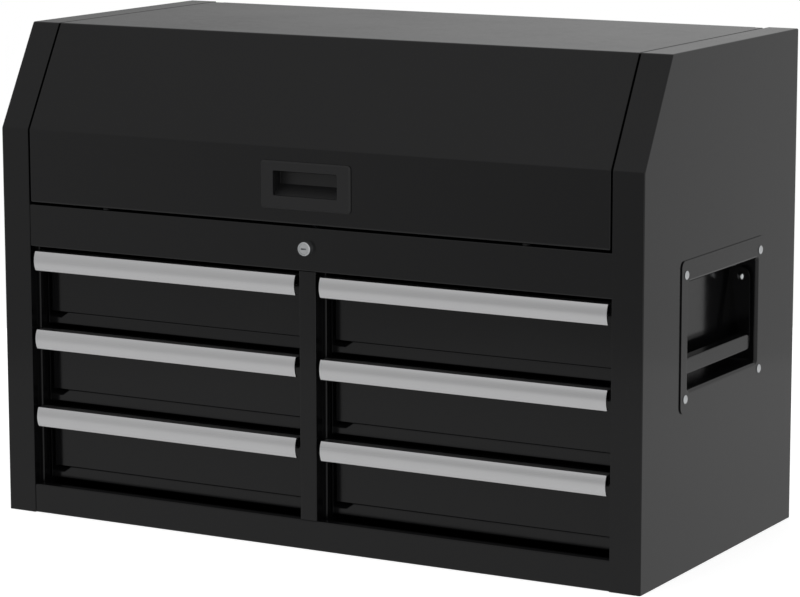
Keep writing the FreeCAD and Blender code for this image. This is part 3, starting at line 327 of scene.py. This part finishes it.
def zinc_plate(name, base, passivated):
    """Zinc-plated steel strip: cool satin metal with a straw tint in patches and rolling lines."""
    patch_size, line_spacing, line_length, line_depth = mm(35), mm(0.8), mm(250), mm(0.02)
    tree, shader, place = start_material(name, {"Metallic": 1.0})
    patches = add_node(tree, "ShaderNodeTexNoise", inputs={
        "Vector": place, "Scale": per_metre(patch_size), "Detail": 4.0, "Roughness": 0.6})
    share = add_node(tree, "ShaderNodeMapRange", inputs={
        "Value": patches.outputs["Fac"], "From Min": 0.45, "From Max": 0.75,
        "To Min": 0.0, "To Max": 0.6})
    tint = add_node(tree, "ShaderNodeMix", {"data_type": "RGBA"}, {
        0: share.outputs[0], 6: opaque(base), 7: opaque(passivated)})
    # Lines from rolling the strip run from front to back
    rolled = add_node(tree, "ShaderNodeMapping", {"vector_type": "POINT"}, {
        "Vector": place,
        "Scale": (per_metre(line_spacing), per_metre(line_length), per_metre(line_spacing))})
    lines = add_node(tree, "ShaderNodeTexNoise", inputs={
        "Vector": rolled.outputs[0], "Scale": 1.0, "Detail": 3.0})
    rough = add_node(tree, "ShaderNodeMapRange", inputs={
        "Value": lines.outputs["Fac"], "From Min": 0.3, "From Max": 0.7,
        "To Min": 0.26, "To Max": 0.4})
    bump = add_node(tree, "ShaderNodeBump", inputs={
        "Height": lines.outputs["Fac"], "Strength": 0.15, "Distance": line_depth})
    finish_material(tree, shader, tint, rough, bump)


def chrome_plate(name, base):
    """Bright chrome plate: a mirror with the faint waviness and wipe marks of barrel plating."""
    wipe_size, wipe_depth, dull_chrome = mm(3), mm(0.01), 0.92
    tree, shader, place = start_material(name, {"Metallic": 1.0})
    wipe = add_node(tree, "ShaderNodeTexNoise", inputs={
        "Vector": place, "Scale": per_metre(wipe_size), "Detail": 4.0, "Roughness": 0.7})
    rough = add_node(tree, "ShaderNodeMapRange", inputs={
        "Value": wipe.outputs["Fac"], "From Min": 0.3, "From Max": 0.7,
        "To Min": 0.1, "To Max": 0.18})
    tint = add_node(tree, "ShaderNodeMix", {"data_type": "RGBA"}, {
        0: wipe.outputs["Fac"], 6: opaque(base, dull_chrome), 7: opaque(base)})
    bump = add_node(tree, "ShaderNodeBump", inputs={
        "Height": wipe.outputs["Fac"], "Strength": 0.1, "Distance": wipe_depth})
    finish_material(tree, shader, tint, rough, bump)


def grained_plastic(name, base, grain, roughness, depth):
    """Moulded ABS or rubber: a matt skin with the leather-like grain of its mould."""
    fine_share, rough_spread, grain_hollow_shade = 0.6, 0.06, 0.85
    tree, shader, place = start_material(name, {"IOR": 1.5, "Metallic": 0.0})
    cells = add_node(tree, "ShaderNodeTexVoronoi", {"feature": "SMOOTH_F1"}, {
        "Vector": place, "Scale": per_metre(grain), "Smoothness": 0.6})
    fine = add_node(tree, "ShaderNodeTexNoise", inputs={
        "Vector": place, "Scale": per_metre(grain * fine_share), "Detail": 3.0})
    height = add_node(tree, "ShaderNodeMath", {"operation": "ADD"}, {
        0: cells.outputs["Distance"], 1: fine.outputs["Fac"]})
    rough = add_node(tree, "ShaderNodeMapRange", inputs={
        "Value": fine.outputs["Fac"], "From Min": 0.3, "From Max": 0.7,
        "To Min": roughness - rough_spread, "To Max": roughness + rough_spread})
    # Painted shade: the grain's hollows are tinted a little darker, following the bump's height
    tint = add_node(tree, "ShaderNodeMix", {"data_type": "RGBA"}, {
        0: height.outputs[0], 6: opaque(base, grain_hollow_shade), 7: opaque(base)})
    bump = add_node(tree, "ShaderNodeBump", inputs={
        "Height": height.outputs[0], "Strength": 0.35, "Distance": depth})
    finish_material(tree, shader, tint, rough, bump)


def finishes(scene):
    """Every finish of the chest by its slot, made once."""
    colours, sizes = scene.chest_colours, scene.chest_sizes
    gloss, inner_gloss, satin_paint = 0.14, 0.2, 0.38
    plastic_matt, plastic_grain, rubber_matt, rubber_grain = 0.5, mm(0.03), 0.8, mm(0.02)
    recipes = {
        "gloss_black_enamel": (baked_enamel, colours.enamel, sizes.orange_peel, gloss),
        "inner_enamel": (baked_enamel, colours.enamel, sizes.orange_peel, inner_gloss),
        "bail_enamel": (baked_enamel, colours.enamel, sizes.orange_peel, gloss),
        "pull_aluminium": (anodised_aluminium, colours.aluminium, sizes.die_line),
        "zinc_plated_steel": (zinc_plate, colours.zinc, colours.zinc_tint),
        "chrome_plate": (chrome_plate, colours.chrome),
        "strut_rod_chrome": (chrome_plate, colours.chrome),
        "strut_black": (baked_enamel, colours.strut, sizes.orange_peel, satin_paint),
        "handle_plastic": (grained_plastic, colours.plastic, sizes.grain,
                           plastic_matt, plastic_grain),
        "bumper_rubber": (grained_plastic, colours.rubber, sizes.grain,
                          rubber_matt, rubber_grain),
    }
    for slot, (make, *settings) in recipes.items():
        if slot + "_finish" not in bpy.data.materials:
            make(slot + "_finish", *settings)
    return {slot: bpy.data.materials[slot + "_finish"] for slot in recipes}


# The pieces

class CHEST_OT_cabinet(bpy.types.Operator):
    """Finish the folded panels of the cabinet and what stands inside it"""
    bl_idname = "chest.cabinet"
    bl_label = "Cabinet"

    def execute(self, context):
        dress(context, ["left_side_panel", "right_side_panel", "back_panel", "bottom_panel",
                        "till_floor", "header_panel", "bottom_rail", "centre_post",
                        "centre_wall", "slide_posts"], context.scene.chest_sizes.sheet_edge)
        return {"FINISHED"}


class CHEST_OT_lid(bpy.types.Operator):
    """Finish the lid, its hinge, struts, brackets and bumpers"""
    bl_idname = "chest.lid"
    bl_label = "Lid"

    def execute(self, context):
        dress(context, ["lid"], context.scene.chest_sizes.sheet_edge)
        struts = [side + "_strut_" + part for side in SIDES for part in ("rod", "cylinder")]
        dress(context, struts + ["hinge_cabinet_leaf", "hinge_lid_leaf", "hinge_pin",
                                 "strut_lid_brackets", "strut_cabinet_brackets", "lid_bumpers"])
        return {"FINISHED"}


class CHEST_OT_lid_handle(bpy.types.Operator):
    """Finish the lid's recessed handle, with its moulded edges rounded"""
    bl_idname = "chest.lid_handle"
    bl_label = "Lid Handle"

    def execute(self, context):
        dress(context, ["lid_handle"], context.scene.chest_sizes.moulded_edge)
        return {"FINISHED"}


# Where the solid of a drawer's front has its face, its lip's fold and its cheeks. Each is a range
# behind the foremost edge (back) or over the lowest one (up).
FRONT_SHEET_BACK = mm(35)
FACE_BACK = (mm(31), mm(33.3))
FACE_UP = mm(13.8)
FOLD_BACK = (mm(20.8), mm(23.2))
FOLD_UP = (mm(6.5), mm(10.9))
CHEEKS_BACK = (mm(13.8), mm(14.2))

# Half the width of the band in which a cut sheet bends, and how near a point counts as on a cut
BEND_HALF = mm(0.1)
ON_CUT = mm(0.01)
CUT_SNAP = mm(0.001)


def cut_across(shape, lo, normal, places):
    """Cuts a drawer's front sheet along planes with one normal, at the places given."""
    for place in places:
        near = [vert for vert in shape.verts if vert.co.y < lo.y + FRONT_SHEET_BACK]
        edges = {edge for vert in near for edge in vert.link_edges}
        faces = {face for vert in near for face in vert.link_faces}
        bmesh.ops.bisect_plane(shape, geom=near + list(edges) + list(faces), dist=CUT_SNAP,
                               plane_co=normal * place, plane_no=normal)


def dish_front(shape, node):
    """Brings a drawer's face forward, its cheeks back, and its lip up but for the left end."""
    sizes = bpy.context.scene.chest_sizes
    lo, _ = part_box(node)
    ramp_start = lo.x + sizes.lip_dip
    ramp_end = ramp_start + sizes.lip_ramp
    side, foot = lo.x + sizes.face_margin, lo.z + sizes.face_foot
    cut_across(shape, lo, Vector((1, 0, 0)),
               (ramp_start, ramp_end, side - BEND_HALF, side + BEND_HALF))
    cut_across(shape, lo, Vector((0, 0, 1)), (foot - BEND_HALF, foot + BEND_HALF))
    face, fold, cheeks = [], [], []
    for vert in shape.verts:
        back, up = vert.co.y - lo.y, vert.co.z - lo.z
        past_ramp = vert.co.x > ramp_end - ON_CUT
        if FACE_BACK[0] < back < FACE_BACK[1] and up > FACE_UP and vert.co.x > side:
            if vert.co.z > foot or past_ramp:
                face.append(vert)
        if FOLD_BACK[0] < back < FOLD_BACK[1] and FOLD_UP[0] < up < FOLD_UP[1] and past_ramp:
            fold.append(vert)
        if CHEEKS_BACK[0] < back < CHEEKS_BACK[1]:
            cheeks.append(vert)
    if not face or not fold or not cheeks:
        raise RuntimeError("no face, lip or cheek was found on " + node)
    bmesh.ops.translate(shape, verts=cheeks, vec=(0, sizes.cheek_back, 0))
    bmesh.ops.translate(shape, verts=face, vec=(0, -sizes.face_forward, 0))
    bmesh.ops.translate(shape, verts=fold, vec=(0, 0, sizes.lip_rise))


class CHEST_OT_drawers(bpy.types.Operator):
    """Finish the six drawers"""
    bl_idname = "chest.drawers"
    bl_label = "Drawers"

    def execute(self, context):
        dress(context, [side + "_" + row + "_drawer" for side in SIDES for row in ROWS],
              context.scene.chest_sizes.sheet_edge, dish_front)
        return {"FINISHED"}


class CHEST_OT_pulls(bpy.types.Operator):
    """Finish the six aluminium drawer pulls"""
    bl_idname = "chest.pulls"
    bl_label = "Drawer Pulls"

    def execute(self, context):
        dress(context, [side + "_" + row + "_pull" for side in SIDES for row in ROWS],
              context.scene.chest_sizes.pull_edge)
        return {"FINISHED"}


class CHEST_OT_slides(bpy.types.Operator):
    """Finish the drawer slides"""
    bl_idname = "chest.slides"
    bl_label = "Slides"

    def execute(self, context):
        members = [side + "_" + row + "_" + part + "_slides"
                   for side in SIDES for row in ROWS for part in ("middle", "drawer")]
        dress(context, members + ["cabinet_slides"], context.scene.chest_sizes.slide_edge)
        return {"FINISHED"}


class CHEST_OT_lock(bpy.types.Operator):
    """Finish the lock, its cam and its bar"""
    bl_idname = "chest.lock"
    bl_label = "Lock"

    def execute(self, context):
        dress(context, ["lock_housing", "lock_plug", "lock_nut", "lock_cam", "lock_bar"],
              context.scene.chest_sizes.lock_edge)
        return {"FINISHED"}


class CHEST_OT_side_handles(bpy.types.Operator):
    """Finish the handle pans, the bails and their pins and screws"""
    bl_idname = "chest.side_handles"
    bl_label = "Side Handles"

    def execute(self, context):
        sizes = context.scene.chest_sizes
        dress(context, [side + part for side in SIDES for part in ("_handle_pan", "_bail")],
              sizes.pan_edge)
        dress(context, ["bail_pins", "handle_screws"], sizes.screw_edge)
        return {"FINISHED"}


class CHEST_OT_studio(bpy.types.Operator):
    """Set the floor, the soft light and the camera"""
    bl_idname = "chest.studio"
    bl_label = "Studio"

    def execute(self, context):
        scene = context.scene
        lay_floor(scene)
        light_world(scene)
        hang_lamps(scene)
        set_camera(scene)
        scene.view_settings.view_transform = "Standard"
        return {"FINISHED"}


# The studio

WHITE = (1, 1, 1, 1)
FLOOR_SIDES = 96
FLOOR_PATCH = mm(400)
FLOOR_PALE = (0.95, 0.95, 0.95)
# With the light that falls on it, this glow brings the floor up to the white background
FLOOR_GLOW = 0.62
# The room's even grey, for all that lights the chest
ROOM_LEVEL = 0.6
# What gloss enamel and metal mirror: along which axis a tone changes, from where to where, and
# its levels there. Behind the chest the room pales from left to right, in front of it the other
# way and again at the right, and above it is nearly even. The two shares say where these meet.
ROOM_TONES = {
    "behind_left": ("X", -0.66, -0.36, 0.23, 0.43),
    "behind_right": ("X", -0.2, 0.4, 0.0, 0.14),
    "before_left": ("X", -0.64, -0.3, 0.49, 0.34),
    "before_right": ("X", 0.1, 0.8, 0.0, 0.4),
    "above": ("X", -0.62, -0.4, 0.48, 0.6),
    "share_behind": ("Y", -0.3, 0.3, 0.0, 1.0),
    "share_above": ("Z", 0.3, 0.6, 0.0, 1.0),
}
# The floor in the same mirrors, as dim as the room beyond it, and paler to the right
FLOOR_TONES = {"floor": ("X", 0.2, 0.9, 0.56, 0.64)}
# Two large soft lamps, one over the front left and one over the right: place, size and power
LAMPS = {
    "soft_lamp_left": ((-1.8, -2.2, 2.6), 1.8, 14.0),
    "soft_lamp_right": ((2.4, -0.8, 2.4), 1.6, 8.0),
}
LAMP_AIM = (0, 0, 0.3)
SENSOR_WIDTH = 36
NEAR_CLIP, FAR_CLIP = 0.05, 60


def seen_directly(tree):
    """One where the camera, or a view through glass, looks straight at the surface."""
    path = add_node(tree, "ShaderNodeLightPath")
    return add_node(tree, "ShaderNodeMath", {"operation": "ADD", "use_clamp": True}, {
        0: path.outputs["Is Camera Ray"], 1: path.outputs["Is Transmission Ray"]}).outputs[0]


def smooth_tones(tree, way, tones):
    """Tones that change smoothly along an axis, by name."""
    return {name: add_node(tree, "ShaderNodeMapRange", {"interpolation_type": "SMOOTHSTEP"}, {
        "Value": way.outputs[axis], "From Min": start, "From Max": end,
        "To Min": low, "To Max": high}).outputs[0]
        for name, (axis, start, end, low, high) in tones.items()}


def floor_paint(base):
    """Matt pale paint that glows up to the background's white where it is looked at."""
    material = bpy.data.materials.new("studio_floor_paint")
    material.use_nodes = True
    tree = material.node_tree
    tree.nodes.clear()
    place = add_node(tree, "ShaderNodeTexCoord").outputs["Object"]
    patches = add_node(tree, "ShaderNodeTexNoise", inputs={
        "Vector": place, "Scale": per_metre(FLOOR_PATCH)})
    tint = add_node(tree, "ShaderNodeMix", {"data_type": "RGBA"}, {
        0: patches.outputs["Fac"], 6: opaque(base), 7: opaque(FLOOR_PALE)})
    paint = add_node(tree, "ShaderNodeBsdfDiffuse", inputs={"Color": tint.outputs[2]})
    strength = add_node(tree, "ShaderNodeMath", {"operation": "MULTIPLY"}, {
        0: seen_directly(tree), 1: FLOOR_GLOW})
    glow = add_node(tree, "ShaderNodeEmission", inputs={
        "Color": WHITE, "Strength": strength.outputs[0]})
    both = add_node(tree, "ShaderNodeAddShader", inputs={0: paint.outputs[0], 1: glow.outputs[0]})
    where = add_node(tree, "ShaderNodeSeparateXYZ", inputs={0: place})
    mirrored = add_node(tree, "ShaderNodeEmission", inputs={
        "Color": WHITE, "Strength": smooth_tones(tree, where, FLOOR_TONES)["floor"]})
    path = add_node(tree, "ShaderNodeLightPath")
    seen = add_node(tree, "ShaderNodeMixShader", inputs={
        0: path.outputs["Is Glossy Ray"], 1: both.outputs[0], 2: mirrored.outputs[0]})
    add_node(tree, "ShaderNodeOutputMaterial", inputs={"Surface": seen.outputs[0]})
    return material


def lay_floor(scene):
    """A round pale floor, bright enough to meet the white background, which keeps the shadow."""
    shape = bmesh.new()
    bmesh.ops.create_circle(shape, cap_ends=True, segments=FLOOR_SIDES,
                            radius=scene.chest_studio.floor_radius)
    mesh = bpy.data.meshes.new("studio_floor")
    shape.to_mesh(mesh)
    shape.free()
    mesh.materials.append(floor_paint(scene.chest_colours.floor))
    floor = bpy.data.objects.new("studio_floor", mesh)
    scene.collection.objects.link(floor)


def light_world(scene):
    """A white background, and a soft grey room for all that lights or mirrors in the chest."""
    world = bpy.data.worlds.new("studio_room")
    scene.world = world
    world.use_nodes = True
    tree = world.node_tree
    tree.nodes.clear()
    way = add_node(tree, "ShaderNodeSeparateXYZ", inputs={
        0: add_node(tree, "ShaderNodeTexCoord").outputs["Generated"]})
    tone = smooth_tones(tree, way, ROOM_TONES)
    behind = add_node(tree, "ShaderNodeMath", {"operation": "ADD"}, {
        0: tone["behind_left"], 1: tone["behind_right"]})
    before = add_node(tree, "ShaderNodeMath", {"operation": "ADD"}, {
        0: tone["before_left"], 1: tone["before_right"]})
    round_about = add_node(tree, "ShaderNodeMix", inputs={
        0: tone["share_behind"], 2: before.outputs[0], 3: behind.outputs[0]})
    mirrored = add_node(tree, "ShaderNodeMix", inputs={
        0: tone["share_above"], 2: round_about.outputs[0], 3: tone["above"]})
    path = add_node(tree, "ShaderNodeLightPath")
    level = add_node(tree, "ShaderNodeMix", inputs={
        0: path.outputs["Is Glossy Ray"], 2: ROOM_LEVEL, 3: mirrored.outputs[0]})
    room = add_node(tree, "ShaderNodeBackground", inputs={
        "Color": WHITE, "Strength": level.outputs[0]})
    backdrop = add_node(tree, "ShaderNodeBackground", inputs={"Color": WHITE, "Strength": 1.0})
    mixed = add_node(tree, "ShaderNodeMixShader", inputs={
        0: seen_directly(tree), 1: room.outputs[0], 2: backdrop.outputs[0]})
    add_node(tree, "ShaderNodeOutputWorld", inputs={"Surface": mixed.outputs[0]})


def hang_lamps(scene):
    """Two large soft lamps that point at the chest and don't show in its gloss."""
    for name, (place, size, watts) in LAMPS.items():
        lamp = bpy.data.lights.new(name, "AREA")
        lamp.shape = "DISK"
        lamp.size = size
        lamp.energy = watts
        holder = bpy.data.objects.new(name, lamp)
        holder.location = place
        aim = Vector(LAMP_AIM) - Vector(place)
        holder.rotation_euler = aim.to_track_quat("-Z", "Y").to_euler()
        holder.visible_glossy = False
        scene.collection.objects.link(holder)


def set_camera(scene):
    """The camera at the photograph's angle, for a picture 800 pixels wide and 597 high."""
    studio = scene.chest_studio
    camera = bpy.data.cameras.new("studio_camera")
    camera.sensor_fit = "HORIZONTAL"
    camera.sensor_width = SENSOR_WIDTH
    camera.lens = studio.lens
    camera.clip_start = NEAR_CLIP
    camera.clip_end = FAR_CLIP
    turn, rise = studio.azimuth, studio.elevation
    back = Vector((math.sin(turn) * math.cos(rise), -math.cos(turn) * math.cos(rise),
                   math.sin(rise)))
    facing = back.to_track_quat("Z", "Y").to_matrix()
    holder = bpy.data.objects.new("studio_camera", camera)
    holder.rotation_euler = (facing @ Matrix.Rotation(studio.roll, 3, "Z")).to_euler()
    holder.location = studio.eye
    scene.collection.objects.link(holder)
    scene.camera = holder


# The panel, and the run

PARTS = (CHEST_OT_cabinet, CHEST_OT_lid, CHEST_OT_lid_handle, CHEST_OT_drawers, CHEST_OT_pulls,
         CHEST_OT_slides, CHEST_OT_lock, CHEST_OT_side_handles, CHEST_OT_studio)


class VIEW3D_PT_chest(bpy.types.Panel):
    """The chest's parts and what can be changed on them"""
    bl_label = "Tool Chest"
    bl_space_type = "VIEW_3D"
    bl_region_type = "UI"
    bl_category = "Tool Chest"

    def draw(self, context):
        scene = context.scene
        for part in PARTS:
            self.layout.operator(part.bl_idname)
        for group in (scene.chest_colours, scene.chest_sizes, scene.chest_studio):
            box = self.layout.box()
            for name in group.__annotations__:
                box.prop(group, name)


CLASSES = (ChestColours, ChestSizes, ChestStudio, *PARTS, VIEW3D_PT_chest)


def register():
    for each in CLASSES:
        bpy.utils.register_class(each)
    bpy.types.Scene.chest_colours = PointerProperty(type=ChestColours)
    bpy.types.Scene.chest_sizes = PointerProperty(type=ChestSizes)
    bpy.types.Scene.chest_studio = PointerProperty(type=ChestStudio)


def unregister():
    del bpy.types.Scene.chest_studio
    del bpy.types.Scene.chest_sizes
    del bpy.types.Scene.chest_colours
    for each in reversed(CLASSES):
        bpy.utils.unregister_class(each)


def main():
    """Finishes every part in turn."""
    register()
    for part in PARTS:
        group, name = part.bl_idname.split(".")
        getattr(getattr(bpy.ops, group), name)()


if __name__ == "__main__":
    main()
